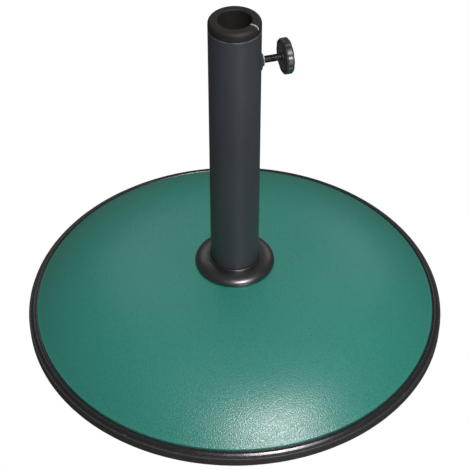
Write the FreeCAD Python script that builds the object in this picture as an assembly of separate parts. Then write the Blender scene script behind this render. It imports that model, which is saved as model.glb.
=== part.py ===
"""Round weighted base for a patio umbrella: a domed disc, a socket post and a clamp knob.

Frame: millimetres, +Z up, origin on the floor at the centre of the disc, +X towards the knob.
Each function below makes one piece, and the last block writes every piece to its own STEP file.
"""
import FreeCAD, Part
import math
import os

VEC = FreeCAD.Vector
UP = VEC(0, 0, 1)
OUT = VEC(1, 0, 0)

# Weighted disc
DISC_R = 252.2              # outside of the edge trim
SHELL_R = 241.5             # outside of the green shell, where the trim meets it
SHELL_WALL = 3.0
CROWN_Z = 75.0              # top of the shell, on the axis
SHELL_EDGE_Z = 15.5         # height of the shell's corner above the floor
DOME_POWER = 3.5            # flat in the middle and rounder towards the edge
DOME_POINTS = 16
SHELL_CORNER_R = 1.2
PAD_PROUD = 2.0             # the pads hold the disc this far off the floor
PAD_R = 18.0
PAD_THICK = 5.0
PAD_CIRCLE_R = 190.0
PAD_COUNT = 4
WIRE_R = 3.0
WIRE_RING_R = 165.0
WIRE_Z = 24.0

# Edge trim
TRIM_BOTTOM_Z = 0.6
TRIM_LIP_INNER_R = 230.0    # the lip that wraps under the shell and the concrete
TRIM_LIP_TOP_Z = 3.2
TRIM_BEAD_CENTRE_R = 246.0  # round bead along the top
TRIM_BEAD_Z = 12.0
TRIM_BEAD_R = 3.0
TRIM_LAND_ANGLE = 155.0     # the bead's arc ends here, in a flat land against the shell
TRIM_GROOVE_DROP = 0.4      # the groove beside the bead lies this far below the bead's centre
TRIM_SHOULDER_Z = 10.8      # the outer wall is upright to here, then rounds over to the groove
TRIM_SHOULDER_R = 1.2
TRIM_FOOT_CHAMFER = 0.6

# Post
POST_R = 28.5
POST_WALL = 2.0
POST_BOTTOM_Z = 42.0
POST_TOP_Z = 406.2
SOCKET_GAP = 0.25
SOCKET_WALL = 2.25
SOCKET_FLOOR = 4.0
SOCKET_RIM_Z = 77.0
FOOT_PLUG_THICK = 12.0
FOOT_PLUG_GAP = 0.1
WELD_LEG = 4.0

# Bolt stack below the post
BOLT_R = 6.0
BOLT_HEAD_AF = 18.0
BOLT_HEAD_THICK = 7.5
BOLT_TIP_Z = 58.0
BOLT_HOLE_R = 7.0
TAPPED_GAP = 0.05
RECESS_R = 22.0
RECESS_ROOF_Z = 20.0
WASHER_R = 20.0
WASHER_HOLE_R = 6.5
WASHER_THICK = 3.0
SPRING_WASHER_R = 10.6
SPRING_WASHER_THICK = 2.5
SPRING_WASHER_SLIT = 1.6

# Flange cover
COVER_R = 47.5
COVER_BORE_GAP = 0.3
COVER_BOTTOM_Z = 75.3
COVER_SKIRT = 1.0           # upright part of the rim
COVER_NECK_R = 31.4
COVER_NECK_BASE_Z = 85.4    # the quarter-round shoulder ends here
COVER_TOP_Z = 87.4
COVER_WALL = 2.4

# Pole collar and seat
POLE_BORE_R = 18.0          # takes a 35 mm pole
COLLAR_BOTTOM_Z = 369.0
COLLAR_LIP_Z = 406.4
COLLAR_TOP_Z = 417.2
COLLAR_ROUND_R = 5.9
COLLAR_MOUTH_R = 1.8
COLLAR_GAP = 0.07
SLIT_WIDTH = 1.8
SLIT_ANGLE = -45.5          # degrees from the knob
SEAT_FLOOR_Z = 62.0
SEAT_TOP_Z = 98.0
SEAT_GAP = 0.3
SEAT_STEP_R = 21.5
SEAT_STEP_Z = 59.0
SEAT_DRAIN_R = 8.0
SEAT_LEAD_IN = 3.0

# Clamp screw, on an axis along +X
SCREW_Z = 360.4
STUD_R = 4.0
STUD_GAP = 0.05
NUT_AF = 13.0
NUT_PROUD = 3.2
NUT_SPIGOT_R = 5.5
NUT_INNER_X = 24.7
BEAD_R = 11.2
BEAD_TOP_R = 7.9
BEAD_PROUD = 2.2
KNOB_FACE_X = 51.1          # face of the knob towards the post, in the open rest position
STUD_LENGTH = 29.6
STUD_HEAD_AF = 12.0
STUD_HEAD_X = 54.2
STUD_HEAD_THICK = 4.5
TIP_R = 2.9
TIP_THICK = 1.5
TIP_GAP = 0.1
TIP_STEM_R = 1.5
TIP_STEM_LENGTH = 4.0
TIP_STEM_GAP = 0.05
KNOB_R = 19.8
KNOB_THICK = 11.4
KNOB_HUB_R = 7.5
KNOB_HUB_PROUD = 0.8
KNOB_LOBES = 10
KNOB_FLUTE_R = 3.5
KNOB_FLUTE_DEPTH = 1.2
KNOB_FIRST_FLUTE = 5.6      # degrees up from level, with the screw in its rest position
KNOB_ROUND = 1.5


def line(a, b):
    """Edge between two (r, z) points of a half section."""
    return Part.LineSegment(VEC(a[0], 0, a[1]), VEC(b[0], 0, b[1])).toShape()


def arc(a, mid, b):
    """Circular edge through three (r, z) points of a half section."""
    return Part.Arc(VEC(a[0], 0, a[1]), VEC(mid[0], 0, mid[1]), VEC(b[0], 0, b[1])).toShape()


def corner_arc(centre, radius, start_deg, end_deg):
    """Circular edge in a half section, from one angle to another about its centre."""
    points = []
    for angle in (start_deg, (start_deg + end_deg) / 2.0, end_deg):
        a = math.radians(angle)
        points.append((centre[0] + radius * math.cos(a), centre[1] + radius * math.sin(a)))
    return arc(*points)


def chain(points):
    """Straight edges through a list of (r, z) points."""
    return [line(a, b) for a, b in zip(points, points[1:])]


def spin(edges):
    """Solid of revolution about the vertical axis from a closed half section."""
    face = Part.Face(Part.Wire(Part.__sortEdges__(edges)))
    return face.revolve(VEC(0, 0, 0), UP, 360)


def ring(inner_r, outer_r, z0, z1):
    """Plain round tube or washer."""
    outer = Part.makeCylinder(outer_r, z1 - z0, VEC(0, 0, z0))
    if inner_r <= 0:
        return outer
    return outer.cut(Part.makeCylinder(inner_r, z1 - z0, VEC(0, 0, z0)))


def hexagon(flats, base, direction, length):
    """Hexagonal prism, by its size across flats."""
    radius = flats / math.sqrt(3.0)
    prism = Part.makePolygon([VEC(radius * math.cos(math.radians(60 * i)),
                                  radius * math.sin(math.radians(60 * i)), 0) for i in range(7)])
    solid = Part.Face(prism).extrude(VEC(0, 0, length))
    solid.Placement = FreeCAD.Placement(base, FreeCAD.Rotation(UP, direction))
    return solid


def screw_rod(radius, x0, x1):
    """Cylinder on the clamp screw's axis."""
    return Part.makeCylinder(radius, x1 - x0, VEC(x0, 0, SCREW_Z), OUT)


def dome_z(radius, drop=0.0):
    """Height of the shell's outer surface at a radius, or of a surface that far below it."""
    rise = CROWN_Z - SHELL_EDGE_Z
    return CROWN_Z - rise * (radius / SHELL_R) ** DOME_POWER - drop


def dome_edge(r_in, r_out, drop=0.0):
    """Smooth half-section curve of the dome between two radii."""
    points = []
    for i in range(DOME_POINTS):
        r = r_in + (r_out - r_in) * i / (DOME_POINTS - 1)
        points.append(VEC(r, 0, dome_z(r, drop)))
    curve = Part.BSplineCurve()
    curve.interpolate(points)
    return curve.toShape()


# ---- weighted disc ----

def floor_pads():
    """Rubber pads under the disc, four alike."""
    pads = []
    for i in range(PAD_COUNT):
        a = math.radians(45 + 360.0 * i / PAD_COUNT)
        centre = VEC(PAD_CIRCLE_R * math.cos(a), PAD_CIRCLE_R * math.sin(a), 0)
        pad = Part.makeCylinder(PAD_R, PAD_THICK, centre)
        foot = [e for e in pad.Edges if abs(e.CenterOfMass.z) < 1e-6 and len(e.Vertexes) == 1]
        pads.append(pad.makeChamfer(0.8, foot))
    return Part.makeCompound(pads)


def reinforcement_ring():
    """Steel wire ring cast into the concrete."""
    return Part.makeTorus(WIRE_RING_R, WIRE_R, VEC(0, 0, WIRE_Z))


def concrete_core():
    """Cast weight: domed top, socket for the post, bolt hole and a recess for the bolt head."""
    core_r = SHELL_R - SHELL_WALL
    socket_r = POST_R + SOCKET_GAP + SOCKET_WALL
    edges = [dome_edge(socket_r, core_r, SHELL_WALL)]
    edges += chain([(core_r, dome_z(core_r, SHELL_WALL)), (core_r, TRIM_LIP_TOP_Z),
                    (TRIM_LIP_INNER_R, TRIM_LIP_TOP_Z), (TRIM_LIP_INNER_R, PAD_PROUD), (RECESS_R, PAD_PROUD),
                    (RECESS_R, RECESS_ROOF_Z), (BOLT_HOLE_R, RECESS_ROOF_Z),
                    (BOLT_HOLE_R, POST_BOTTOM_Z - SOCKET_FLOOR),
                    (socket_r, POST_BOTTOM_Z - SOCKET_FLOOR),
                    (socket_r, dome_z(socket_r, SHELL_WALL))])
    core = spin(edges)
    for i in range(PAD_COUNT):
        a = math.radians(45 + 360.0 * i / PAD_COUNT)
        centre = VEC(PAD_CIRCLE_R * math.cos(a), PAD_CIRCLE_R * math.sin(a), PAD_PROUD)
        core = core.cut(Part.makeCylinder(PAD_R, PAD_THICK - PAD_PROUD, centre))
    return core.cut(reinforcement_ring())


def dome_cover():
    """Green moulded shell: the dome, a rounded corner and an upright skirt behind the trim."""
    hole_r = POST_R + SOCKET_GAP + SOCKET_WALL
    core_r = SHELL_R - SHELL_WALL
    corner_r = SHELL_R - SHELL_CORNER_R
    slope = math.atan((dome_z(corner_r - 0.5) - dome_z(corner_r)) / 0.5)
    centre = (corner_r, dome_z(corner_r) - SHELL_CORNER_R / math.cos(slope))
    start = 90.0 - math.degrees(slope)
    touch = (centre[0] + SHELL_CORNER_R * math.cos(math.radians(start)),
             centre[1] + SHELL_CORNER_R * math.sin(math.radians(start)))
    edges = [dome_edge(hole_r, corner_r - 2.0)]
    edges.append(line((corner_r - 2.0, dome_z(corner_r - 2.0)), touch))
    edges.append(corner_arc(centre, SHELL_CORNER_R, start, 0.0))
    edges += chain([(SHELL_R, centre[1]), (SHELL_R, TRIM_LIP_TOP_Z), (core_r, TRIM_LIP_TOP_Z),
                    (core_r, dome_z(core_r, SHELL_WALL))])
    edges.append(dome_edge(hole_r, core_r, SHELL_WALL))
    edges.append(line((hole_r, dome_z(hole_r, SHELL_WALL)), (hole_r, dome_z(hole_r))))
    return spin(edges)


def edge_trim():
    """Black edge strip: under-lip, upright outer wall, and a round bead beside a narrow land."""
    bead_centre = (TRIM_BEAD_CENTRE_R, TRIM_BEAD_Z)
    land_angle = math.radians(TRIM_LAND_ANGLE)
    bead_start = (TRIM_BEAD_CENTRE_R + TRIM_BEAD_R * math.cos(land_angle),
                  TRIM_BEAD_Z + TRIM_BEAD_R * math.sin(land_angle))
    bead_end = (TRIM_BEAD_CENTRE_R + TRIM_BEAD_R, TRIM_BEAD_Z)
    groove = (bead_end[0], TRIM_BEAD_Z - TRIM_GROOVE_DROP)
    shoulder = (DISC_R - TRIM_SHOULDER_R, TRIM_SHOULDER_Z)
    shoulder_top = (shoulder[0], TRIM_SHOULDER_Z + TRIM_SHOULDER_R)
    edges = [corner_arc(bead_centre, TRIM_BEAD_R, TRIM_LAND_ANGLE, 0.0)]
    edges += chain([bead_end, groove, shoulder_top])
    edges.append(corner_arc(shoulder, TRIM_SHOULDER_R, 90.0, 0.0))
    edges += chain([(DISC_R, TRIM_SHOULDER_Z), (DISC_R, TRIM_BOTTOM_Z + TRIM_FOOT_CHAMFER),
                    (DISC_R - TRIM_FOOT_CHAMFER, TRIM_BOTTOM_Z), (TRIM_LIP_INNER_R, TRIM_BOTTOM_Z),
                    (TRIM_LIP_INNER_R, TRIM_LIP_TOP_Z), (SHELL_R, TRIM_LIP_TOP_Z),
                    (SHELL_R, bead_start[1]), bead_start])
    return spin(edges)


# ---- post and its fixing ----

def post_socket():
    """Steel cup cast into the crown, which the post stands in."""
    inner_r = POST_R + SOCKET_GAP
    outer_r = inner_r + SOCKET_WALL
    cup = ring(BOLT_HOLE_R, outer_r, POST_BOTTOM_Z - SOCKET_FLOOR, SOCKET_RIM_Z)
    return cup.cut(Part.makeCylinder(inner_r, SOCKET_RIM_Z - POST_BOTTOM_Z, VEC(0, 0, POST_BOTTOM_Z)))


def post_tube():
    """Coated steel tube with a round hole in its side for the threaded boss."""
    tube = ring(POST_R - POST_WALL, POST_R, POST_BOTTOM_Z, POST_TOP_Z)
    rim = [e for e in tube.Edges if e.CenterOfMass.z > POST_TOP_Z - 0.01 and len(e.Vertexes) == 1]
    tube = tube.makeFillet(0.5, rim)
    return tube.cut(screw_rod(NUT_SPIGOT_R, 20.0, 35.0))


def post_foot():
    """Threaded steel plug in the foot of the tube."""
    return ring(BOLT_R + TAPPED_GAP, POST_R - POST_WALL - FOOT_PLUG_GAP, POST_BOTTOM_Z,
                POST_BOTTOM_Z + FOOT_PLUG_THICK)


def foot_weld():
    """Fillet weld between the plug and the tube."""
    z = POST_BOTTOM_Z + FOOT_PLUG_THICK
    wall_r = POST_R - POST_WALL
    corner, low, high = (wall_r, z), (wall_r - WELD_LEG, z), (wall_r, z + WELD_LEG)
    mid = (wall_r - WELD_LEG * 0.42, z + WELD_LEG * 0.42)
    return spin([line(corner, low), arc(low, mid, high), line(high, corner)])


def foot_bolt():
    """Hexagon bolt up through the concrete into the plug."""
    washer_face = RECESS_ROOF_Z - WASHER_THICK - SPRING_WASHER_THICK
    head_z = washer_face - BOLT_HEAD_THICK
    head = hexagon(BOLT_HEAD_AF, VEC(0, 0, head_z), UP, BOLT_HEAD_THICK)
    head_cone = Part.makeCone(BOLT_HEAD_AF * 0.5, BOLT_HEAD_AF * 0.5 + BOLT_HEAD_THICK * 1.7,
                              BOLT_HEAD_THICK, VEC(0, 0, head_z))
    shank = Part.makeCylinder(BOLT_R, BOLT_TIP_Z - washer_face, VEC(0, 0, washer_face))
    tip = [e for e in shank.Edges if e.CenterOfMass.z > BOLT_TIP_Z - 0.01 and len(e.Vertexes) == 1]
    shank = shank.makeChamfer(1.0, tip)
    return head.common(head_cone).fuse(shank).removeSplitter()


def spring_washer():
    """Split washer under the bolt head."""
    top = RECESS_ROOF_Z - WASHER_THICK
    washer = ring(BOLT_R + 0.2, SPRING_WASHER_R, top - SPRING_WASHER_THICK, top)
    slit = Part.makeBox(SPRING_WASHER_R + 2, SPRING_WASHER_SLIT, 2 * SPRING_WASHER_THICK,
                        VEC(0, -SPRING_WASHER_SLIT / 2.0, top - 1.5 * SPRING_WASHER_THICK))
    slit.rotate(VEC(0, 0, top), VEC(1, 0, 0), 20)
    return washer.cut(slit)


def anchor_washer():
    """Large flat washer that spreads the bolt's load into the concrete."""
    return ring(WASHER_HOLE_R, WASHER_R, RECESS_ROOF_Z - WASHER_THICK, RECESS_ROOF_Z)


def ellipse_point(centre, semi_r, semi_z, angle_deg):
    """Point of an upright ellipse in a half section, by its angle from the outward direction."""
    a = math.radians(angle_deg)
    return (centre[0] + semi_r * math.cos(a), centre[1] + semi_z * math.sin(a))


def quarter_round(centre, semi_r, semi_z, pieces=3):
    """Quarter of an ellipse from its outermost point to its top, as joined arcs."""
    step = 90.0 / pieces
    at = [ellipse_point(centre, semi_r, semi_z, step * i / 2.0) for i in range(2 * pieces + 1)]
    return [arc(at[2 * i], at[2 * i + 1], at[2 * i + 2]) for i in range(pieces)], at[0], at[-1]


def flange_cover():
    """Glossy ring cover: upright rim, quarter-round shoulder and a short neck round the post."""
    bore_r = POST_R + COVER_BORE_GAP
    centre = (COVER_NECK_R, COVER_BOTTOM_Z + COVER_SKIRT)
    semi_r = COVER_R - COVER_NECK_R
    semi_z = COVER_NECK_BASE_Z - centre[1]
    outer, outer_rim, neck_base = quarter_round(centre, semi_r, semi_z)
    inner, inner_rim, inner_top = quarter_round(centre, semi_r - COVER_WALL, semi_z - COVER_WALL)
    neck_top = (COVER_NECK_R, COVER_TOP_Z - 0.9)
    bore_top = (bore_r, COVER_TOP_Z - 0.9)
    lip_mid = ((bore_r + COVER_NECK_R) / 2.0, COVER_TOP_Z)
    edges = outer + inner
    edges += chain([neck_base, neck_top])
    edges.append(arc(neck_top, lip_mid, bore_top))
    edges += chain([bore_top, (bore_r, inner_top[1]), inner_top])
    edges += chain([inner_rim, (inner_rim[0], COVER_BOTTOM_Z), (COVER_R, COVER_BOTTOM_Z), outer_rim])
    return spin(edges)


# ---- pole guide and clamp ----

def pole_collar():
    """Slit bush in the top of the tube: a rounded lip flush with the tube over a plain sleeve."""
    sleeve_r = POST_R - POST_WALL - COLLAR_GAP
    round_centre = (POST_R - COLLAR_ROUND_R, COLLAR_TOP_Z - COLLAR_ROUND_R)
    mouth_centre = (POLE_BORE_R + COLLAR_MOUTH_R, COLLAR_TOP_Z - COLLAR_MOUTH_R)
    edges = chain([(POLE_BORE_R, mouth_centre[1]), (POLE_BORE_R, COLLAR_BOTTOM_Z + 1.0),
                   (POLE_BORE_R + 1.0, COLLAR_BOTTOM_Z), (sleeve_r - 1.5, COLLAR_BOTTOM_Z),
                   (sleeve_r, COLLAR_BOTTOM_Z + 3.0), (sleeve_r, COLLAR_LIP_Z),
                   (POST_R, COLLAR_LIP_Z), (POST_R, round_centre[1])])
    edges.append(corner_arc(round_centre, COLLAR_ROUND_R, 0.0, 90.0))
    edges.append(line((round_centre[0], COLLAR_TOP_Z), (mouth_centre[0], COLLAR_TOP_Z)))
    edges.append(corner_arc(mouth_centre, COLLAR_MOUTH_R, 90.0, 180.0))
    bush = spin(edges)
    slit = Part.makeBox(POST_R + 2, SLIT_WIDTH, COLLAR_TOP_Z - COLLAR_BOTTOM_Z + 4,
                        VEC(0, -SLIT_WIDTH / 2.0, COLLAR_BOTTOM_Z - 2))
    slit.rotate(VEC(0, 0, 0), UP, SLIT_ANGLE)
    return bush.cut(slit)


def pole_seat():
    """Plastic cup that centres the foot of the pole, with a drain over the bolt's tip."""
    outer_r = POST_R - POST_WALL - SEAT_GAP
    bottom_z = POST_BOTTOM_Z + FOOT_PLUG_THICK
    points = [(SEAT_DRAIN_R, bottom_z), (SEAT_STEP_R, bottom_z), (SEAT_STEP_R, SEAT_STEP_Z),
              (outer_r, SEAT_STEP_Z), (outer_r, SEAT_TOP_Z), (POLE_BORE_R + SEAT_LEAD_IN, SEAT_TOP_Z),
              (POLE_BORE_R, SEAT_TOP_Z - SEAT_LEAD_IN), (POLE_BORE_R, SEAT_FLOOR_Z),
              (SEAT_DRAIN_R, SEAT_FLOOR_Z), (SEAT_DRAIN_R, bottom_z)]
    return spin(chain(points))


def nut_blank():
    """Outside of the threaded boss: a hexagon on the tube with a spigot through its wall."""
    hexa = hexagon(NUT_AF, VEC(POST_R - 3.0, 0, SCREW_Z), OUT, NUT_PROUD + 3.0)
    hexa = hexa.cut(Part.makeCylinder(POST_R, 60.0, VEC(0, 0, SCREW_Z - 30)))
    return hexa.fuse(screw_rod(NUT_SPIGOT_R, NUT_INNER_X, POST_R + 0.5)).removeSplitter()


def weld_nut():
    """Threaded boss on the side of the tube."""
    return nut_blank().cut(screw_rod(STUD_R + STUD_GAP, 20.0, 40.0))


def nut_weld():
    """Weld bead round the boss, shaped to the tube."""
    length = 6.0
    top_x = POST_R + BEAD_PROUD
    slope = (BEAD_R - BEAD_TOP_R) / (BEAD_PROUD + 1.0)
    bead = Part.makeCone(BEAD_TOP_R + slope * length, BEAD_TOP_R, length,
                         VEC(top_x - length, 0, SCREW_Z), OUT)
    bead = bead.cut(Part.makeCylinder(POST_R, 60.0, VEC(0, 0, SCREW_Z - 30)))
    return bead.cut(nut_blank())


def clamp_stud():
    """M8 stud with a hexagon head moulded into the knob and a blind hole for the tip."""
    end_x = KNOB_FACE_X - STUD_LENGTH
    rod = screw_rod(STUD_R, end_x, STUD_HEAD_X + 1.0)
    tip = [e for e in rod.Edges if e.CenterOfMass.x < end_x + 0.01 and len(e.Vertexes) == 1]
    rod = rod.makeChamfer(0.7, tip)
    head = hexagon(STUD_HEAD_AF, VEC(STUD_HEAD_X, 0, SCREW_Z), OUT, STUD_HEAD_THICK)
    stud = rod.fuse(head).removeSplitter()
    return stud.cut(screw_rod(TIP_STEM_R + TIP_STEM_GAP, end_x - 1.0, end_x + TIP_STEM_LENGTH + 0.5))


def thrust_tip():
    """Nylon tip that presses on the pole while the stud turns on it."""
    end_x = KNOB_FACE_X - STUD_LENGTH
    head = screw_rod(TIP_R, end_x - TIP_GAP - TIP_THICK, end_x - TIP_GAP)
    nose = [e for e in head.Edges if e.CenterOfMass.x < end_x - TIP_THICK and len(e.Vertexes) == 1]
    head = head.makeFillet(0.5, nose)
    return head.fuse(screw_rod(TIP_STEM_R, end_x - TIP_GAP - 0.2, end_x + TIP_STEM_LENGTH)).removeSplitter()


def star_knob():
    """Lobed hand knob: a fluted rim, flat faces and a low hub towards the post."""
    back_x = KNOB_FACE_X + KNOB_HUB_PROUD
    front_x = back_x + KNOB_THICK
    flute_centre_r = KNOB_R + KNOB_FLUTE_R - KNOB_FLUTE_DEPTH
    body = screw_rod(KNOB_R, back_x, front_x)
    for i in range(KNOB_LOBES):
        a = math.radians(KNOB_FIRST_FLUTE + 360.0 * i / KNOB_LOBES)
        centre = VEC(back_x - 1.0, flute_centre_r * math.cos(a), SCREW_Z + flute_centre_r * math.sin(a))
        body = body.cut(Part.makeCylinder(KNOB_FLUTE_R, KNOB_THICK + 2.0, centre, OUT))
    rims = [e for e in body.Edges if abs(e.BoundBox.XMax - e.BoundBox.XMin) < 1e-6]
    body = body.makeFillet(KNOB_ROUND, rims)
    hub = Part.makeCone(KNOB_HUB_R, KNOB_HUB_R + 1.2, KNOB_HUB_PROUD + 1.0,
                        VEC(KNOB_FACE_X, 0, SCREW_Z), OUT)
    knob = body.fuse(hub).removeSplitter()
    head = hexagon(STUD_HEAD_AF, VEC(STUD_HEAD_X, 0, SCREW_Z), OUT, STUD_HEAD_THICK)
    return knob.cut(screw_rod(STUD_R, KNOB_FACE_X - 1.0, STUD_HEAD_X + 1.0)).cut(head)


PIECES = [floor_pads, reinforcement_ring, concrete_core, dome_cover, edge_trim,
          post_socket, post_tube, post_foot, foot_weld, foot_bolt, spring_washer, anchor_washer,
          flange_cover, pole_collar, pole_seat, weld_nut, nut_weld, clamp_stud, thrust_tip, star_knob]

os.makedirs("parts", exist_ok=True)
for make in PIECES:
    shape = make()
    shape.exportStep("parts/" + make.__name__ + ".step")
    print(make.__name__, len(shape.Solids), "valid", shape.isValid(), round(shape.Volume / 1000.0, 2), "cm3")
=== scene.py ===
import math

import bmesh
import bpy
from mathutils import Matrix, Vector, noise


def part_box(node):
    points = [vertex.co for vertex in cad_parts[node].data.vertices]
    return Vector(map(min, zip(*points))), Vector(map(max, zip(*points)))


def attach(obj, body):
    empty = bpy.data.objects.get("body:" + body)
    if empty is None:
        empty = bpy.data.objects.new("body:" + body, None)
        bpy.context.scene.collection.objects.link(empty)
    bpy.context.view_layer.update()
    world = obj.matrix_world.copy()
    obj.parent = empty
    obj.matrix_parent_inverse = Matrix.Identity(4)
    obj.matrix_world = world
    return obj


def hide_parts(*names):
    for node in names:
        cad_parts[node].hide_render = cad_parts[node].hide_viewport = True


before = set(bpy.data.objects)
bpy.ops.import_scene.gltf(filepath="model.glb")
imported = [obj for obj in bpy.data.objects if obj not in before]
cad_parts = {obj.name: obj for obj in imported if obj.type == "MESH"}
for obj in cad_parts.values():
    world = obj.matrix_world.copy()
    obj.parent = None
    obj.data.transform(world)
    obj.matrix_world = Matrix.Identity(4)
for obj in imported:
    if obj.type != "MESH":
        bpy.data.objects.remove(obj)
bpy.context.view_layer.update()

MM = 0.001

# Camera: solved from the outlines of the disc and the post.
VIEW_AZIMUTH = math.radians(-16.0)
VIEW_ELEVATION = math.radians(42.28)
VIEW_TARGET = Vector((0.0003, -0.0001, 0.1156))
VIEW_DISTANCE = 1.6175
FOCAL_LENGTH = 104.86
SENSOR = 36.0

# Sizes that the frame's boxes don't give, the same as in the CAD.
SHELL_EDGE_Z = 15.5 * MM
SHELL_CROWN_Z = 75.0 * MM
DOME_POWER = 3.5
SHELL_WALL = 3.0 * MM
BEAD_CENTRE_R = 246.0 * MM
BEAD_Z = 12.0 * MM
BEAD_R = 3.0 * MM
BEAD_LAND_ANGLE = 155.0
SHOULDER_Z = 10.8 * MM
SHOULDER_R = 1.2 * MM
LIP_WIDTH = 13.0 * MM
PAD_R = 18.0 * MM
POST_R = 28.5 * MM
POST_WALL = 2.0 * MM
COVER_BORE_R = 28.8 * MM
COVER_NECK_R = 31.4 * MM
COVER_NECK_BASE_Z = 85.4 * MM
POLE_BORE_R = 18.0 * MM
SLEEVE_PLAY = 0.07 * MM
LIP_PLAY = 0.2 * MM
COLLAR_LIP_R = 5.9 * MM
COLLAR_MOUTH_R = 1.8 * MM
# Depth below the collar's top of the pale painted highlight on the slit's faces.
SLIT_HIGHLIGHT_DEPTH = 5.2 * MM
CUT_OVERRUN = 4 * MM
SLIT_ANGLE = math.radians(-45.5)
SLIT_WIDTH = 1.8 * MM
SCREW_Z = 360.4 * MM
THREAD_PITCH = 1.25 * MM
THREAD_DEPTH = 0.45 * MM
STUD_HEAD_HALF_WIDTH = 6.0 * MM
STUD_HEAD_HEIGHT = 4.5 * MM
BOSS_HALF_WIDTH = 6.5 * MM
BOSS_CLEARANCE = 0.02 * MM
BOSS_SPIGOT_R = 5.5 * MM
KNOB_R = 19.75 * MM
KNOB_LOBES = 10
KNOB_LOBE_ANGLE = math.radians(5.6)
KNOB_FLUTE_DEPTH = 0.75 * MM
KNOB_ROUND_R = 2.0 * MM
KNOB_DOME = 2.0 * MM
KNOB_HUB_PROUD = 0.8 * MM

# Studio, in metres.
FLOOR_SIZE = 12.0
BACKDROP_RADIUS = 8.0
SKY_STRENGTH = 0.10
LIGHT_TARGET_Z = 0.1


# ---------------------------------------------------------------- mesh tools

def to_object(name, bm):
    """Object from a bmesh, with outward normals."""
    bmesh.ops.recalc_face_normals(bm, faces=bm.faces)
    mesh = bpy.data.meshes.new(name)
    bm.to_mesh(mesh)
    bm.free()
    obj = bpy.data.objects.new(name, mesh)
    bpy.context.scene.collection.objects.link(obj)
    return obj


def shade(obj, angle=32.0):
    """Smooth shading that keeps edges sharper than the angle."""
    obj.data.shade_smooth()
    obj.data.set_sharp_from_angle(angle=math.radians(angle))


def outline(corners, closed=True, turn_step=10.0):
    """Polyline through (r, z, fillet) corners, each rounded to its fillet radius."""
    result = []
    count = len(corners)
    for i, (r, z, fillet) in enumerate(corners):
        p = Vector((r, z))
        at_end = not closed and i in (0, count - 1)
        if fillet <= 0 or at_end:
            result.append(p)
            continue
        a = Vector(corners[i - 1][:2]) - p
        b = Vector(corners[(i + 1) % count][:2]) - p
        half = a.angle(b) / 2
        reach = min(fillet / math.tan(half), 0.49 * a.length, 0.49 * b.length)
        radius = reach * math.tan(half)
        middle = p + (a.normalized() + b.normalized()).normalized() * (radius / math.sin(half))
        start = p + a.normalized() * reach - middle
        end = p + b.normalized() * reach - middle
        turn = start.angle_signed(end)
        steps = max(2, math.ceil(abs(math.degrees(turn)) / turn_step))
        for k in range(steps + 1):
            spun = Matrix.Rotation(-turn * k / steps, 2) @ start
            result.append(middle + spun)
    return result


def round_corner(centre_r, centre_z, radius, degrees, fillet=0):
    """Corner of a profile that lies on a circle, at an angle in degrees."""
    a = math.radians(degrees)
    return centre_r + radius * math.cos(a), centre_z + radius * math.sin(a), fillet


def round_points(centre_r, centre_z, radius, start, end, steps):
    """Corners along a round stretch of a profile, between two angles in degrees."""
    turns = [start + (end - start) * i / steps for i in range(steps + 1)]
    return [round_corner(centre_r, centre_z, radius, degrees) for degrees in turns]


def lathe(name, profile, segments=192, closed=True, along_screw=False):
    """Surface of revolution about Z from (r, z) points, or about the clamp screw with z as x."""
    bm = bmesh.new()
    rings = []
    for r, z in profile:
        if r < 1e-7:
            rings.append([bm.verts.new((0, 0, z))] * segments)
            continue
        ring = []
        for k in range(segments):
            a = 2 * math.pi * k / segments
            ring.append(bm.verts.new((r * math.cos(a), r * math.sin(a), z)))
        rings.append(ring)
    pairs = list(zip(rings, rings[1:]))
    if closed:
        pairs.append((rings[-1], rings[0]))
    for low, high in pairs:
        for k in range(segments):
            n = (k + 1) % segments
            corners = list(dict.fromkeys((low[k], low[n], high[n], high[k])))
            if len(corners) > 2:
                bm.faces.new(corners)
    obj = to_object(name, bm)
    if along_screw:
        obj.data.transform(screw_frame())
    return obj


def screw_frame():
    """Lays a shape made about Z along the clamp screw, with its z = 0 on the post's axis."""
    return Matrix.Translation((0, 0, SCREW_Z)) @ Matrix.Rotation(math.pi / 2, 4, "Y")


def cut(obj, cutter):
    """Subtracts the cutter's shape and removes the cutter."""
    mod = obj.modifiers.new("cut", "BOOLEAN")
    mod.object = cutter
    mod.operation = "DIFFERENCE"
    mod.solver = "MANIFOLD"
    apply_modifiers(obj)
    bpy.data.objects.remove(cutter)


def apply_modifiers(obj):
    """Replaces the mesh by its modified result."""
    bpy.context.view_layer.update()
    graph = bpy.context.evaluated_depsgraph_get()
    mesh = bpy.data.meshes.new_from_object(obj.evaluated_get(graph))
    obj.modifiers.clear()
    old = obj.data
    obj.data = mesh
    bpy.data.meshes.remove(old)


def roughen(obj, depth, size, seed):
    """Sinks each vertex a little along its normal, for the unevenness of a moulded or cast surface."""
    shift = Vector((seed * 3.1, seed * 1.7, -seed * 2.3))
    moved = []
    for v in obj.data.vertices:
        sink = (noise.noise(v.co / size + shift) - 1.0) * 0.5 * depth
        moved.append(v.co + v.normal * sink)
    for v, place in zip(obj.data.vertices, moved):
        v.co = place


def finish_piece(obj, body, slot, look, *nodes):
    """Gives a piece its material if it has none and its body, and hides the CAD nodes it stands for. The slot
    is not used.
    """
    if not any(obj.data.materials):
        obj.data.materials.clear()
        obj.data.materials.append(look)
    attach(obj, body)
    if nodes:
        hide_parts(*nodes)
    return obj


def dress(node, look):
    """Gives a CAD node its material."""
    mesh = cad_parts[node].data
    mesh.materials.clear()
    mesh.materials.append(look)


# ---------------------------------------------------------------- materials

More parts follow.
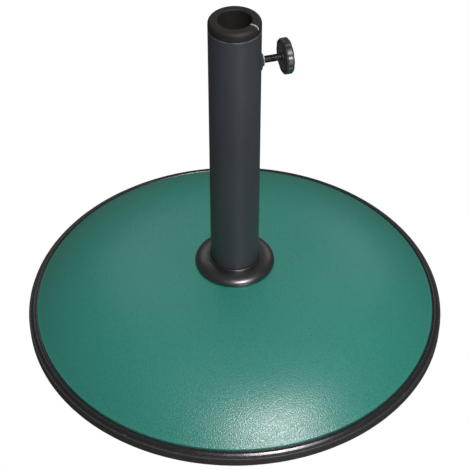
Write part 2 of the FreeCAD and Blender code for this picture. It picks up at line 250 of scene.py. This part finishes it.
class Look:
    """A procedural material built up from a few layers of noise."""

    def __init__(self, name, colour, roughness, metallic=0.0):
        self.mat = bpy.data.materials.new(name)
        self.mat.use_nodes = True
        self.tree = self.mat.node_tree
        self.bsdf = self.tree.nodes["Principled BSDF"]
        self.bsdf.inputs["Metallic"].default_value = metallic
        self.place = self.tree.nodes.new("ShaderNodeTexCoord").outputs["Object"]
        self.colour = (*colour, 1.0)
        self.rough = roughness
        self.normal = None

    def link(self, source, target):
        self.tree.links.new(source, target)

    def noise(self, size, detail=3.0, stretch=(1, 1, 1), roughness=0.55, shift=0.0):
        """Noise from 0 to 1 with features of about that size in metres."""
        mapping = self.tree.nodes.new("ShaderNodeMapping")
        mapping.inputs["Scale"].default_value = stretch
        mapping.inputs["Location"].default_value = (shift, shift * 0.7, -shift)
        self.link(self.place, mapping.inputs["Vector"])
        node = self.tree.nodes.new("ShaderNodeTexNoise")
        node.inputs["Scale"].default_value = 1.0 / size
        node.inputs["Detail"].default_value = detail
        node.inputs["Roughness"].default_value = roughness
        self.link(mapping.outputs[0], node.inputs["Vector"])
        return node.outputs[0]

    def pebbles(self, size, smooth=0.6):
        """Rounded cells of about that size, high in the middle and low between."""
        node = self.tree.nodes.new("ShaderNodeTexVoronoi")
        node.feature = "SMOOTH_F1"
        node.inputs["Scale"].default_value = 1.0 / size
        node.inputs["Smoothness"].default_value = smooth
        self.link(self.place, node.inputs["Vector"])
        return self.math("SUBTRACT", 1.0, node.outputs["Distance"])

    def feed(self, source, socket):
        """Sets a plain number or colour on the socket itself, and links anything that varies."""
        if isinstance(source, (int, float, tuple)):
            socket.default_value = source
        else:
            self.link(source, socket)

    def math(self, how, a, b):
        node = self.tree.nodes.new("ShaderNodeMath")
        node.operation = how
        self.feed(a, node.inputs[0])
        self.feed(b, node.inputs[1])
        return node.outputs[0]

    def span(self, source, low, high, to_low=0.0, to_high=1.0):
        """Remaps a span of values, clamped."""
        node = self.tree.nodes.new("ShaderNodeMapRange")
        node.inputs["From Min"].default_value = low
        node.inputs["From Max"].default_value = high
        node.inputs["To Min"].default_value = to_low
        node.inputs["To Max"].default_value = to_high
        self.link(source, node.inputs["Value"])
        return node.outputs[0]

    def axis(self, letter):
        node = self.tree.nodes.new("ShaderNodeSeparateXYZ")
        self.link(self.place, node.inputs[0])
        return node.outputs[letter]

    def radius(self, one, two, shift=0.0):
        """Distance from the origin across two axes, with the second one shifted."""
        a = self.axis(one)
        b = self.math("SUBTRACT", self.axis(two), shift)
        square = self.math("ADD", self.math("MULTIPLY", a, a), self.math("MULTIPLY", b, b))
        return self.math("POWER", square, 0.5)

    def tint(self, mask, colour, amount):
        """Lays a colour over the base where the mask is high."""
        node = self.tree.nodes.new("ShaderNodeMix")
        node.data_type = "RGBA"
        self.link(self.math("MULTIPLY", mask, amount), node.inputs["Factor"])
        self.feed(self.colour, node.inputs["A"])
        node.inputs["B"].default_value = (*colour, 1.0)
        self.colour = node.outputs["Result"]

    def roughen(self, mask, amount):
        self.rough = self.math("ADD", self.rough, self.math("MULTIPLY", mask, amount))

    def bump(self, height, depth, strength):
        """Relief of that depth in metres."""
        node = self.tree.nodes.new("ShaderNodeBump")
        node.inputs["Strength"].default_value = strength
        node.inputs["Distance"].default_value = depth
        self.link(height, node.inputs["Height"])
        if self.normal:
            self.link(self.normal, node.inputs["Normal"])
        self.normal = node.outputs[0]

    def done(self, **sockets):
        """Joins the layers to the shader; further shader sockets are set by name."""
        self.feed(self.colour, self.bsdf.inputs["Base Color"])
        self.feed(self.rough, self.bsdf.inputs["Roughness"])
        if self.normal:
            self.link(self.normal, self.bsdf.inputs["Normal"])
        for name, number in sockets.items():
            self.bsdf.inputs[name.replace("_", " ").title().replace("Ior", "IOR")].default_value = number
        return self.mat


def green_shell_look():
    """Green moulded plastic with a fine pebbled grain, painted darker in the grain's hollows as shade."""
    look = Look("green_shell", (0.022, 0.219, 0.166), 0.25)
    grain = look.noise(1.7 * MM, detail=3.0, roughness=0.6)
    cells = look.pebbles(1.35 * MM)
    broad = look.noise(90 * MM, detail=2.0)
    # The grain is tinted lighter on its crests and darker in its hollows; the darker hollows are painted
    # shade.
    look.tint(look.span(grain, 0.45, 0.75), (0.040, 0.270, 0.205), 0.5)
    look.tint(look.span(grain, 0.48, 0.25), (0.012, 0.160, 0.115), 0.5)
    look.tint(look.span(broad, 0.4, 0.8), (0.030, 0.240, 0.180), 0.4)
    look.roughen(look.span(grain, 0.3, 0.8), 0.24)
    look.bump(cells, 0.22 * MM, 0.9)
    look.bump(grain, 0.32 * MM, 0.6)
    return look.done(specular_ior_level=1.0)


def edge_trim_look():
    """Black extruded edging: a shiny bead, a duller outer face, scuffs and dust near the floor."""
    look = Look("edge_black", (0.014, 0.0140, 0.0150), 0.24)
    fine = look.noise(0.8 * MM, detail=3.0)
    streaks = look.noise(9 * MM, detail=4.0, stretch=(1, 1, 6))
    face = look.span(look.radius("X", "Y"), BEAD_CENTRE_R + 2.5 * MM, BEAD_CENTRE_R + 3.2 * MM)
    low = look.span(look.axis("Z"), 8.0 * MM, 2.0 * MM)
    flecks = look.span(look.noise(3.2 * MM, detail=2.0, shift=2.0), 0.66, 0.72)
    dust = look.math("MULTIPLY", low, look.span(look.noise(5 * MM, detail=5.0), 0.56, 0.72))
    look.tint(look.span(streaks, 0.55, 0.8), (0.030, 0.029, 0.028), 0.6)
    look.tint(face, (0.021, 0.020, 0.0175), 0.8)
    look.tint(look.math("MULTIPLY", face, flecks), (0.16, 0.15, 0.13), 0.5)
    look.tint(dust, (0.20, 0.18, 0.155), 0.35)
    look.roughen(face, 0.30)
    look.roughen(look.span(streaks, 0.45, 0.75), 0.10)
    look.bump(streaks, 0.10 * MM, 0.5)
    look.bump(fine, 0.04 * MM, 0.5)
    return look.done(specular_ior_level=1.0)


def post_coating_look():
    """Dark grey satin powder coat with a fine orange peel, and a painted highlight in patches along the tube's
    end.
    """
    look = Look("post_coating", (0.039, 0.046, 0.054), 0.38)
    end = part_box("post_tube")[1][2]
    peel = look.noise(1.6 * MM, detail=2.0)
    cloud = look.noise(35 * MM, detail=3.0, stretch=(1, 1, 0.35))
    speck = look.span(look.noise(0.9 * MM, detail=1.0, shift=3.0), 0.70, 0.78)
    # A pale band in patches just below the tube's end: painted highlight on its edge.
    rim = look.span(look.axis("Z"), end - 1.5 * MM, end - 0.5 * MM)
    end_highlight = look.math("MULTIPLY", rim, look.span(look.noise(11 * MM, detail=3.0, shift=1.0), 0.36, 0.62))
    look.tint(look.span(cloud, 0.4, 0.75), (0.050, 0.059, 0.070), 0.7)
    look.tint(speck, (0.060, 0.065, 0.07), 0.5)
    look.tint(end_highlight, (0.16, 0.17, 0.18), 0.6)
    look.roughen(look.span(cloud, 0.35, 0.7), 0.10)
    look.bump(peel, 0.10 * MM, 0.55)
    return look.done()


def gloss_black_look(name, roughness, colour, specular, ior=1.5):
    """Moulded black plastic with faint flow marks."""
    look = Look(name, colour, roughness)
    flow = look.noise(7 * MM, detail=3.0, stretch=(1, 1, 2.5))
    fine = look.noise(0.6 * MM, detail=2.0)
    scuff = look.span(look.noise(2.2 * MM, detail=6.0, roughness=0.7), 0.60, 0.78)
    look.tint(scuff, (0.05, 0.05, 0.052), 0.35)
    look.roughen(look.span(flow, 0.4, 0.7), 0.08)
    look.roughen(scuff, 0.18)
    look.bump(flow, 0.05 * MM, 0.4)
    look.bump(fine, 0.012 * MM, 0.5)
    return look.done(specular_ior_level=specular, ior=ior)


def slit_highlight_look():
    """Pale face of a saw cut in black plastic, painted pale as a highlight on the slit."""
    look = Look("collar_slit_painted_highlight", (0.62, 0.62, 0.62), 0.55)
    saw = look.noise(0.5 * MM, detail=3.0, stretch=(1, 1, 5))
    look.tint(look.span(saw, 0.4, 0.7), (0.80, 0.80, 0.79), 0.8)
    look.bump(saw, 0.05 * MM, 0.6)
    return look.done()


def steel_look(name, colour, roughness, grime=0.4):
    """Bare or plated steel with soft blotches and fine scratches."""
    look = Look(name, colour, roughness, metallic=1.0)
    blotch = look.noise(6 * MM, detail=4.0)
    scratch = look.noise(0.9 * MM, detail=5.0, stretch=(1, 1, 7))
    dark = tuple(c * 0.45 for c in colour)
    look.tint(look.span(blotch, 0.45, 0.75), dark, grime)
    look.roughen(look.span(blotch, 0.4, 0.7), 0.18)
    look.roughen(look.span(scratch, 0.4, 0.7), 0.10)
    look.bump(scratch, 0.03 * MM, 0.5)
    return look.done()


def stud_look():
    """Black oxide on the thread's flanks, rubbed bright on its crests."""
    look = Look("stud_steel", (0.075, 0.073, 0.070), 0.40, metallic=1.0)
    crest = look.span(look.radius("Y", "Z", SCREW_Z), 3.60 * MM, 3.96 * MM)
    patch = look.span(look.noise(5 * MM, detail=2.0), 0.25, 0.60)
    look.tint(look.math("MULTIPLY", crest, patch), (0.17, 0.17, 0.17), 0.9)
    look.bump(look.noise(0.5 * MM, detail=2.0), 0.02 * MM, 0.5)
    return look.done()


def boss_look():
    """Post coating over the boss and its weld, with pale patches near the outer face: rubbed bare metal
    painted in as a highlight.
    """
    look = Look("boss_steel", (0.040, 0.043, 0.047), 0.36)
    # Pale patches near the outer face are a painted highlight, in a shader that is not metal.
    face = look.span(look.axis("X"), 30.4 * MM, 31.4 * MM)
    patch = look.span(look.noise(2.5 * MM, detail=3.0), 0.28, 0.5)
    look.tint(look.math("MULTIPLY", face, patch), (0.72, 0.72, 0.71), 0.9)
    look.bump(look.noise(1.1 * MM, detail=3.0), 0.12 * MM, 0.6)
    return look.done()


def concrete_look():
    """Cast concrete: blotchy grey with sand grains and small pores, painted dark inside as shade."""
    look = Look("concrete", (0.33, 0.32, 0.30), 0.85)
    cloud = look.noise(60 * MM, detail=5.0)
    sand = look.noise(1.4 * MM, detail=4.0, roughness=0.7)
    pores = look.span(look.noise(4.5 * MM, detail=2.0, shift=5.0), 0.70, 0.76)
    look.tint(look.span(cloud, 0.4, 0.7), (0.42, 0.41, 0.39), 0.8)
    look.tint(look.span(sand, 0.5, 0.75), (0.22, 0.21, 0.20), 0.5)
    # Pores are darker: painted shade in the hollows.
    look.tint(pores, (0.10, 0.10, 0.095), 0.8)
    look.bump(sand, 0.25 * MM, 0.7)
    look.bump(look.math("SUBTRACT", 1.0, pores), 0.8 * MM, 0.8)
    return look.done()


def soft_look(name, colour, roughness):
    """Matt rubber or plain moulded plastic."""
    look = Look(name, colour, roughness)
    fine = look.noise(0.7 * MM, detail=3.0)
    cloud = look.noise(14 * MM, detail=3.0)
    look.tint(look.span(cloud, 0.45, 0.75), tuple(min(1.0, c * 1.6) for c in colour), 0.5)
    look.roughen(look.span(fine, 0.4, 0.7), 0.08)
    look.bump(fine, 0.06 * MM, 0.6)
    return look.done()


# ---------------------------------------------------------------- pieces of the disc

def dome_z(r):
    """Height of the shell's outer surface at a radius."""
    shell_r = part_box("dome_cover")[1][0]
    return SHELL_CROWN_Z - (SHELL_CROWN_Z - SHELL_EDGE_Z) * (r / shell_r) ** DOME_POWER


def green_shell(look):
    """Dome with a crisp rounded corner and a skirt behind the trim."""
    low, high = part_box("dome_cover")
    shell_r = high[0]
    hole_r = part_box("post_socket")[1][0]
    corner_r = shell_r - 1.6 * MM
    steps = 64
    top = []
    for i in range(steps + 1):
        r = hole_r + (corner_r - hole_r) * i / steps
        top.append((r, dome_z(r)))
    edge = (shell_r, dome_z(shell_r) + 0.5 * MM, 0.9 * MM)
    corner = outline([(*top[-1], 0), edge, (shell_r, low[2], 0)], closed=False)
    under = []
    inner_r = shell_r - SHELL_WALL
    for i in range(steps // 2 + 1):
        r = inner_r + (hole_r - inner_r) * i / (steps // 2)
        under.append((r, dome_z(r) - SHELL_WALL))
    profile = top[:-1] + [tuple(p) for p in corner] + [(inner_r, low[2])] + under
    obj = lathe("green_shell", profile, segments=384)
    shade(obj)
    return finish_piece(obj, "base", "green_shell", look, "dome_cover")


def black_trim(look):
    """Edge strip: under-lip, upright outer wall, and a bead with a flat bevel beside a narrow land."""
    low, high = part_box("edge_trim")
    outer, bottom = high[0], low[2]
    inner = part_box("dome_cover")[1][0]
    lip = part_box("dome_cover")[0][2]
    lip_r = inner - LIP_WIDTH
    corners = [(lip_r, lip, 0.3 * MM), (lip_r, bottom, 0.3 * MM), (outer - 0.6 * MM, bottom, 0.2 * MM),
               (outer, bottom + 0.6 * MM, 0.4 * MM)]
    corners += round_points(outer - SHOULDER_R, SHOULDER_Z, SHOULDER_R, 0.0, 95.0, 8)
    corners.append((BEAD_CENTRE_R + BEAD_R, BEAD_Z - 0.4 * MM, 0.2 * MM))
    for degrees, fillet in ((8.0, 0.3 * MM), (24.0, 0.6 * MM), (80.0, 0.7 * MM)):
        corners.append(round_corner(BEAD_CENTRE_R, BEAD_Z, BEAD_R, degrees, fillet))
    corners += round_points(BEAD_CENTRE_R, BEAD_Z, BEAD_R, 96.0, BEAD_LAND_ANGLE, 8)
    corners += [(inner, corners[-1][1], 0.2 * MM), (inner, lip, 0)]
    obj = lathe("black_trim", outline(corners, turn_step=8.0), segments=384)
    roughen(obj, 0.16 * MM, 16 * MM, 4)
    shade(obj)
    return finish_piece(obj, "base", "edge_black", look, "edge_trim")


def rubber_pads(look):
    """Four rubber pads with a rounded rim and two grip grooves on the floor side."""
    low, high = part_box("floor_pads")
    centre = high[0] - PAD_R
    height = high[2] - low[2]
    half, fillet = 0.8 * MM, 0.2 * MM
    corners = [(0, height, 0), (PAD_R, height, 0), (PAD_R, 0.0, 1.0 * MM)]
    for groove_r in (13.2 * MM, 7.6 * MM):
        corners += [(groove_r + half, 0.0, fillet), (groove_r, half, fillet), (groove_r - half, 0.0, fillet)]
    corners.append((0, 0, 0))
    bm = bmesh.new()
    for sx, sy in ((1, 1), (-1, 1), (-1, -1), (1, -1)):
        pad = lathe("pad", outline(corners, closed=False), segments=64, closed=False)
        pad.data.transform(Matrix.Translation((sx * centre, sy * centre, low[2])))
        bm.from_mesh(pad.data)
        bpy.data.objects.remove(pad)
    obj = to_object("rubber_pads", bm)
    shade(obj)
    return finish_piece(obj, "base", "pad_rubber", look, "floor_pads")


# ---------------------------------------------------------------- post and cover

def post(look):
    """Coated tube with a softly rolled cut end."""
    low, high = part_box("post_tube")
    inner = POST_R - POST_WALL
    corners = [(POST_R, low[2], 0.3 * MM), (POST_R, high[2], 1.0 * MM), (inner, high[2], 0.5 * MM),
               (inner, low[2], 0.3 * MM)]
    obj = lathe("post", outline(corners), segments=160)
    hole_start, hole_end = 20 * MM, 35 * MM
    drill = [(0, hole_start), (BOSS_SPIGOT_R, hole_start), (BOSS_SPIGOT_R, hole_end), (0, hole_end)]
    hole = lathe("hole", drill, segments=48, closed=False, along_screw=True)
    cut(obj, hole)
    shade(obj)
    return finish_piece(obj, "base", "post_coating", look, "post_tube")


def flange_ring(look):
    """Glossy cover ring: a narrow upright rim, a quarter-round shoulder and a rounded neck."""
    low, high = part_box("flange_cover")
    bottom, top = low[2], high[2]
    outer = high[0]
    rim = bottom + 1.0 * MM
    wall = 2.4 * MM
    steps = 24
    corners = [(outer, bottom, 0.3 * MM)]
    for i in range(steps + 1):
        a = math.radians(90.0 * i / steps)
        corners.append((COVER_NECK_R + (outer - COVER_NECK_R) * math.cos(a),
                        rim + (COVER_NECK_BASE_Z - rim) * math.sin(a), 0))
    corners += [(COVER_NECK_R, top, 0.9 * MM), (COVER_BORE_R, top, 0.9 * MM),
                (COVER_BORE_R, COVER_NECK_BASE_Z - wall, 0.3 * MM)]
    for i in range(steps // 2 + 1):
        a = math.radians(90.0 - 180.0 * i / steps)
        corners.append((COVER_NECK_R + (outer - wall - COVER_NECK_R) * math.cos(a),
                        rim + (COVER_NECK_BASE_Z - wall - rim) * math.sin(a), 0))
    corners.append((outer - wall, bottom, 0.3 * MM))
    obj = lathe("flange_ring", outline(corners, turn_step=5.0), segments=256)
    roughen(obj, 0.08 * MM, 11 * MM, 7)
    shade(obj)
    return finish_piece(obj, "cover", "gloss_black", look, "flange_cover")


# ---------------------------------------------------------------- collar

def slit_slab(z0, z1):
    """Cutter for the collar's slit between two heights."""
    bm = bmesh.new()
    bmesh.ops.create_cube(bm, size=1.0)
    slab = to_object("slab", bm)
    reach = POST_R + 6 * MM
    slab.data.transform(Matrix.Rotation(SLIT_ANGLE, 4, "Z")
                        @ Matrix.Translation((reach / 2, 0, (z0 + z1) / 2))
                        @ Matrix.Diagonal((reach, SLIT_WIDTH, z1 - z0, 1)))
    return slab


def collar(look, highlight_look):
    """Slit bush with a full round lip; the saw cut's faces in the lip's top are painted pale as a highlight.
    """
    low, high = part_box("pole_collar")
    top, bottom = high[2], low[2]
    sleeve = POST_R - POST_WALL - SLEEVE_PLAY
    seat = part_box("post_tube")[1][2] + LIP_PLAY
    highlight_z = top - SLIT_HIGHLIGHT_DEPTH
    corners = [(POLE_BORE_R, bottom, 0.6 * MM), (sleeve - 1.2 * MM, bottom, 0.4 * MM),
               (sleeve, bottom + 3 * MM, 1.0 * MM), (sleeve, seat, 0.2 * MM), (POST_R, seat, 0.5 * MM),
               (POST_R, top, COLLAR_LIP_R), (POLE_BORE_R, top, COLLAR_MOUTH_R)]
    obj = lathe("collar", outline(corners, turn_step=6.0), segments=160)
    cut(obj, slit_slab(bottom - CUT_OVERRUN, highlight_z))
    cut(obj, slit_slab(highlight_z, top + CUT_OVERRUN))
    # The slit's faces above this depth take the pale material, a painted highlight.
    side = Vector((-math.sin(SLIT_ANGLE), math.cos(SLIT_ANGLE), 0))
    obj.data.materials.clear()
    obj.data.materials.append(look)
    obj.data.materials.append(highlight_look)
    for face in obj.data.polygons:
        on_slit = abs(abs(face.center.dot(side)) - SLIT_WIDTH / 2) < 0.02 * MM
        across = abs(face.normal.dot(side)) > 0.98
        face.material_index = 1 if on_slit and across and face.center.z > highlight_z else 0
    shade(obj)
    return finish_piece(obj, "collar", "collar_black", look, "pole_collar")


# ---------------------------------------------------------------- clamp screw

def hexagon(half_width, angle):
    """Radius of a hexagon at an angle, from half its width across flats."""
    return half_width / math.cos(angle % (math.pi / 3) - math.pi / 6)


def on_post(y):
    """Distance from the post's axis to its surface along the screw, at a distance y to its side."""
    return math.sqrt(POST_R ** 2 - y * y)


def screw_ring(bm, places):
    """Ring of vertices about the clamp screw, from evenly spaced (radius, x) pairs."""
    ring = []
    for k, (r, x) in enumerate(places):
        a = 2 * math.pi * k / len(places)
        ring.append(bm.verts.new((-r * math.cos(a), r * math.sin(a), x)))
    return ring


def skin(name, bm, rings, closed):
    """Object from rings of vertices, either joined end to end or capped at both ends."""
    if closed:
        rings = rings + [rings[0]]
    else:
        bm.faces.new(rings[0])
        bm.faces.new(rings[-1])
    for one, two in zip(rings, rings[1:]):
        for k in range(len(one)):
            n = (k + 1) % len(one)
            bm.faces.new((one[k], one[n], two[n], two[k]))
    obj = to_object(name, bm)
    obj.data.transform(screw_frame())
    return obj


def threaded_stud(look):
    """M8 stud with a real right-hand thread, a blind hole in its tip and a hexagon head in the knob."""
    low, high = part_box("clamp_stud")
    start, stop = low[0], high[0] - STUD_HEAD_HEIGHT
    crest_r = 4.0 * MM
    hole_r, hole_depth = 1.55 * MM, 4.5 * MM
    lead_in_length = 1.2 * MM
    around, per_pitch = 48, 12
    steps = int(round((stop - start) / THREAD_PITCH * per_pitch))
    bm = bmesh.new()
    rings = [screw_ring(bm, [(hole_r, x)] * around) for x in (start + hole_depth, start)]
    for i in range(steps + 1):
        x = start + (stop - start) * i / steps
        lead_in = min(1.0, (x - start) / lead_in_length)
        places = []
        for k in range(around):
            phase = (x / THREAD_PITCH - k / around) % 1.0
            vee = min(1.0, max(0.0, abs(phase - 0.5) * 2.6 - 0.25))
            places.append((crest_r - THREAD_DEPTH * max(vee, 1.0 - lead_in), x))
        rings.append(screw_ring(bm, places))
    for x in (stop, high[0]):
        radii = [hexagon(STUD_HEAD_HALF_WIDTH, 2 * math.pi * k / around) for k in range(around)]
        rings.append(screw_ring(bm, [(r, x) for r in radii]))
    obj = skin("threaded_stud", bm, rings, closed=False)
    shade(obj, 40)
    return finish_piece(obj, "clamp_screw", "stud_steel", look, "clamp_stud")


def knob_outline(inset, count):
    """Lobed outline of the knob, drawn in by an inset."""
    outer = []
    for k in range(count):
        a = 2 * math.pi * k / count
        wave = 0.5 - 0.5 * math.cos(KNOB_LOBES * (a + KNOB_LOBE_ANGLE))
        r = KNOB_R - KNOB_FLUTE_DEPTH * wave ** 4.0
        outer.append(Vector((r * math.cos(a), r * math.sin(a))))
    drawn = []
    for k in range(count):
        along = outer[(k + 1) % count] - outer[k - 1]
        normal = Vector((along.y, -along.x)).normalized()
        drawn.append(outer[k] - normal * inset)
    return drawn


def knob(look):
    """Star knob: a lobed rim, a domed face with a sunk ring, and a flat back with a low hub."""
    low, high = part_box("star_knob")
    back, front = low[0] + KNOB_HUB_PROUD, high[0]
    rim = front - KNOB_DOME
    count, round_steps, wall_steps = 240, 6, 6
    bm = bmesh.new()
    rings = []

    def lobed(x, inset):
        rings.append([bm.verts.new((-p.x, p.y, x)) for p in knob_outline(inset, count)])

    def plain(profile):
        rings.extend(screw_ring(bm, [place] * count) for place in profile)

    hub_hole = [(4.0 * MM, back + 2.0 * MM), (4.05 * MM, low[0] + 0.3 * MM)]
    hub_face = [(4.4 * MM, low[0]), (6.9 * MM, low[0])]
    hub_side = [(7.3 * MM, low[0] + 0.25 * MM), (7.5 * MM, back + 0.15 * MM)]
    back_face = [(8.2 * MM, back + 0.25 * MM), (14.6 * MM, back + 0.25 * MM), (15.2 * MM, back)]
    plain(hub_hole + hub_face + hub_side + back_face)
    # This corner runs from the wall to the back face, so the surface folds through itself at the back rim.
    for i in range(round_steps + 1):
        a = math.radians(90 * i / round_steps)
        lobed(back + KNOB_ROUND_R * (1 - math.sin(a)), KNOB_ROUND_R * (1 - math.cos(a)) if i else KNOB_ROUND_R)
    wall_start, wall_end = back + KNOB_ROUND_R, rim - KNOB_ROUND_R
    for i in range(1, wall_steps):
        lobed(wall_start + (wall_end - wall_start) * i / wall_steps, 0.0)
    for i in range(round_steps + 1):
        a = math.radians(90 * i / round_steps)
        lobed(wall_end + KNOB_ROUND_R * math.sin(a), KNOB_ROUND_R * (1 - math.cos(a)))
    face = [(13.2 * MM, rim + 0.35 * MM), (9.6 * MM, front - 0.9 * MM)]
    sunk_ring = [(9.2 * MM, front - 1.15 * MM), (8.8 * MM, front - 1.1 * MM), (8.3 * MM, front - 0.5 * MM)]
    middle = [(5.0 * MM, front - 0.15 * MM), (1.0 * MM, front)]
    plain(face + sunk_ring + middle)
    obj = skin("lobed_knob", bm, rings, closed=False)
    shade(obj, 45)
    return finish_piece(obj, "clamp_screw", "knob_black", look, "star_knob")


def boss(look):
    """Threaded boss: a chamfered hexagon on the post with a spigot through its wall."""
    low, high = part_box("weld_nut")
    count = 96
    bore_r, mouth_r = 4.1 * MM, 4.8 * MM
    corner_r, chamfer_r = 9.0 * MM, 7.1 * MM
    bm = bmesh.new()

    def hexed(limit, depth=None):
        """Hexagon cut back to a radius, at a depth below the face, or laid on the post."""
        places = []
        for k in range(count):
            a = 2 * math.pi * k / count
            r = min(hexagon(BOSS_HALF_WIDTH, a), limit)
            x = on_post(r * math.sin(a)) + BOSS_CLEARANCE if depth is None else high[0] - depth
            places.append((r, x))
        return screw_ring(bm, places)

    def plain(radius, x):
        return screw_ring(bm, [(radius, x)] * count)

    rings = [plain(BOSS_SPIGOT_R, low[0]), plain(BOSS_SPIGOT_R, POST_R - 0.5 * MM)]
    rings += [hexed(corner_r), hexed(corner_r, 0.9 * MM), hexed(chamfer_r, 0.4 * MM)]
    rings.append(hexed(BOSS_HALF_WIDTH, 0.0))
    rings += [plain(mouth_r, high[0]), plain(bore_r, high[0] - 0.7 * MM), plain(bore_r, low[0])]
    obj = skin("threaded_boss", bm, rings, closed=True)
    shade(obj)
    return finish_piece(obj, "base", "boss_steel", look, "weld_nut")


def weld_bead(look):
    """Rippled bead round the boss, laid on the curve of the post."""
    count, across = 144, 9
    inner_r, outer_r = 6.9 * MM, 10.9 * MM
    bead_height, least_height = 1.75 * MM, 0.01 * MM
    bm = bmesh.new()

    def ripple(a):
        uneven = noise.noise(Vector((math.cos(a), math.sin(a), 0.4)) * 2.2)
        return 0.35 * MM * math.sin(22 * a) + 0.5 * MM * uneven

    def laid(share, rise):
        """Ring a share of the way out from the boss, raised off the post by a height or flat on it."""
        places = []
        for k in range(count):
            a = 2 * math.pi * k / count
            wave = ripple(a)
            r = inner_r + (outer_r + wave - inner_r) * share
            height = 0.0
            if rise:
                height = (bead_height + 0.3 * wave) * math.sqrt(max(0.0, 1 - share ** 1.7))
                height = max(height, least_height)
            places.append((r, on_post(r * math.sin(a)) + height))
        return screw_ring(bm, places)

    rings = [laid(j / across, True) for j in range(across + 1)]
    rings += [laid(1.0, False), laid(0.0, False)]
    obj = skin("weld_bead", bm, rings, closed=True)
    shade(obj, 60)
    return finish_piece(obj, "base", "boss_steel", look, "nut_weld")


# ---------------------------------------------------------------- studio

def outward(azimuth, elevation):
    """Direction out from the object, with azimuth 0 along -Y and turning towards +X."""
    return Vector((math.sin(azimuth) * math.cos(elevation), -math.cos(azimuth) * math.cos(elevation),
                   math.sin(elevation)))


def look_back(obj, target, back, distance):
    """Puts a light or camera out from a target, along a direction, looking back at it."""
    obj.location = target + back * distance
    obj.rotation_mode = "QUATERNION"
    obj.rotation_quaternion = back.to_track_quat("Z", "Y")
    bpy.context.scene.collection.objects.link(obj)


def area_light(name, azimuth, elevation, distance, size, power, colour=(1, 1, 1), shadow=True, glossy=True):
    """Rectangular light whose azimuth is a turn to the camera's right, with its power in watts."""
    data = bpy.data.lights.new(name, "AREA")
    data.shape = "RECTANGLE"
    data.size, data.size_y = size
    data.energy = power
    data.color = colour
    data.use_shadow = shadow
    light = bpy.data.objects.new(name, data)
    light.visible_glossy = glossy
    back = outward(VIEW_AZIMUTH + math.radians(azimuth), math.radians(elevation))
    look_back(light, Vector((0, 0, LIGHT_TARGET_Z)), back, distance)


def stage():
    """White floor with a white backdrop round it. Neither lights the object nor shades it."""
    white = bpy.data.materials.new("floor_white")
    white.use_nodes = True
    shader = white.node_tree.nodes["Principled BSDF"]
    shader.inputs["Base Color"].default_value = (0, 0, 0, 1)
    shader.inputs["Specular IOR Level"].default_value = 0.0
    shader.inputs["Emission Color"].default_value = (1, 1, 1, 1)
    shader.inputs["Emission Strength"].default_value = 1.0
    bpy.ops.mesh.primitive_plane_add(size=FLOOR_SIZE, location=(0, 0, 0))
    floor = bpy.context.active_object
    floor.name = "floor"
    bpy.ops.mesh.primitive_uv_sphere_add(segments=48, ring_count=24, radius=BACKDROP_RADIUS)
    backdrop = bpy.context.active_object
    backdrop.name = "backdrop"
    for obj in (floor, backdrop):
        obj.data.materials.append(white)
        obj.visible_diffuse = False
        obj.visible_glossy = False
        obj.visible_shadow = False


def lights():
    """Even sky, a key light high on the camera's right, and weaker lights round the rest."""
    world = bpy.data.worlds.new("world")
    bpy.context.scene.world = world
    world.use_nodes = True
    background = world.node_tree.nodes["Background"]
    background.inputs["Color"].default_value = (1, 1, 1, 1)
    background.inputs["Strength"].default_value = SKY_STRENGTH
    area_light("key", azimuth=24, elevation=48, distance=2.0, size=(0.6, 0.5), power=27.0,
               colour=(1.0, 0.93, 0.98), shadow=False)
    area_light("top", azimuth=40, elevation=86, distance=2.2, size=(2.0, 2.0), power=17.0, glossy=False)
    area_light("front", azimuth=22, elevation=-4, distance=2.4, size=(1.0, 0.9), power=9.0)
    area_light("left", azimuth=-85, elevation=12, distance=2.5, size=(1.0, 0.8), power=2.5,
               colour=(1.0, 0.95, 0.86), glossy=False)
    area_light("back", azimuth=176, elevation=40, distance=2.6, size=(1.6, 1.2), power=8.0, glossy=False)
    area_light("back_left", azimuth=-158, elevation=37, distance=2.5, size=(1.2, 0.8), power=2.2)
    area_light("back_right", azimuth=150, elevation=28, distance=2.5, size=(1.2, 0.8), power=2.2)


def camera():
    """Camera at the viewing angle given at the top."""
    data = bpy.data.cameras.new("camera")
    data.sensor_width = SENSOR
    data.lens = FOCAL_LENGTH
    obj = bpy.data.objects.new("camera", data)
    look_back(obj, VIEW_TARGET, outward(VIEW_AZIMUTH, VIEW_ELEVATION), VIEW_DISTANCE)
    bpy.context.scene.camera = obj


# ---------------------------------------------------------------- assembly

camera()
stage()
lights()

green_shell(green_shell_look())
black_trim(edge_trim_look())
rubber = soft_look("pad_rubber", (0.025, 0.025, 0.026), 0.75)
rubber_pads(rubber)
post(post_coating_look())
flange_ring(gloss_black_look("gloss_black", 0.31, (0.009, 0.0092, 0.0096), 1.0, 1.7))
collar(gloss_black_look("collar_black", 0.56, (0.0165, 0.0160, 0.0140), 0.4), slit_highlight_look())
threaded_stud(stud_look())
knob(gloss_black_look("knob_black", 0.37, (0.016, 0.0155, 0.0135), 1.0, 1.7))
boss_coat = boss_look()
boss(boss_coat)
weld_bead(boss_coat)

dress("concrete_core", concrete_look())
raw = steel_look("raw_steel", (0.34, 0.33, 0.32), 0.45, 0.6)
for node in ("reinforcement_ring", "post_socket", "post_foot", "foot_weld"):
    dress(node, raw)
zinc = steel_look("zinc_steel", (0.58, 0.60, 0.60), 0.30, 0.3)
for node in ("foot_bolt", "spring_washer", "anchor_washer"):
    dress(node, zinc)
dress("pole_seat", soft_look("seat_grey", (0.030, 0.030, 0.032), 0.55))
dress("thrust_tip", soft_look("tip_nylon", (0.62, 0.60, 0.55), 0.5))

scene = bpy.context.scene
scene.view_settings.view_transform = "Standard"
scene.view_settings.look = "None"
